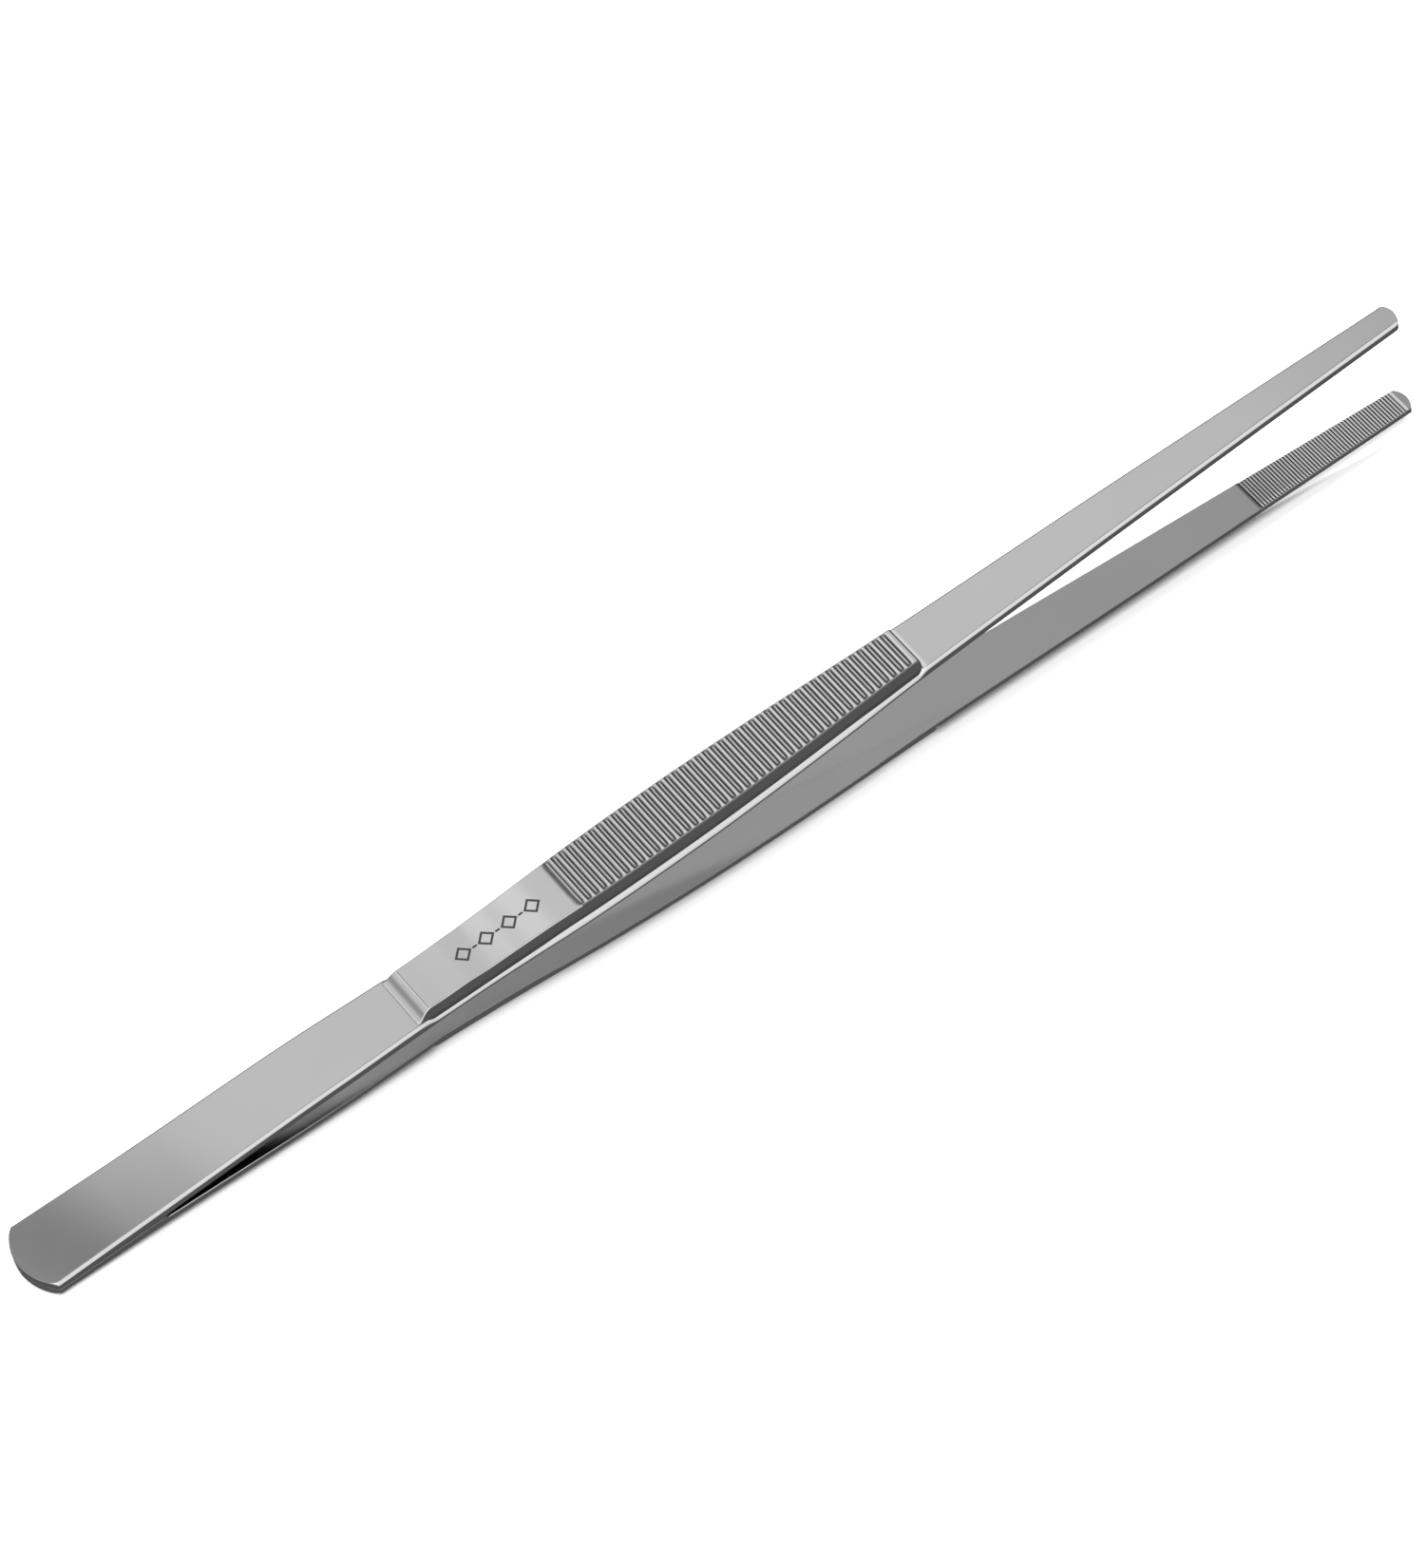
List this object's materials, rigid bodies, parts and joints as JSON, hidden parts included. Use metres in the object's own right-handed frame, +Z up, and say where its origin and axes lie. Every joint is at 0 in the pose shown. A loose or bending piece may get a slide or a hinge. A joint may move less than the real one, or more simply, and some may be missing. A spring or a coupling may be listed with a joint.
{
  "type": "print tongs",
  "caption": "Long spring tongs for lifting photographic prints: two tapering steel arms joined at the butt, with ribbed grip plates and toothed jaws that close when squeezed.",
  "frame": {"origin": "bottom centre of the bounding box, with the tongs lying on the lower grip plate", "axes": "+X along the tongs from the butt to the tips, +Y across the arms, +Z up, the way the upper arm opens"},
  "size_m": [0.3004, 0.0162, 0.0287],
  "materials": {
    "blade_steel": "fine satin stainless steel, edges polished",
    "grip_steel": "fine satin stainless steel with cut ribs",
    "braze": "ground flush, slightly duller than the arms"
  },
  "bodies": {
    "butt": {"butt_braze": "braze", "upper_root": "blade_steel", "lower_root": "blade_steel"},
    "upper_arm": {"upper_blade": "blade_steel", "upper_grip_plate": "grip_steel"},
    "lower_arm": {"lower_blade": "blade_steel", "lower_grip_plate": "grip_steel"}
  },
  "joints": [
    {"name": "upper_spring", "type": "hinge", "parent": "butt", "child": "upper_arm", "pos_m": [-0.09728, 0, 0.00649], "axis": [0, 1, 0], "range_deg": [0, 2.62], "stiffness_Nm_per_rad": 18},
    {"name": "lower_spring", "type": "hinge", "parent": "butt", "child": "lower_arm", "pos_m": [-0.09705, 0, 0.00152], "axis": [0, -1, 0], "range_deg": [0, 2.62], "stiffness_Nm_per_rad": 18}
  ]
}
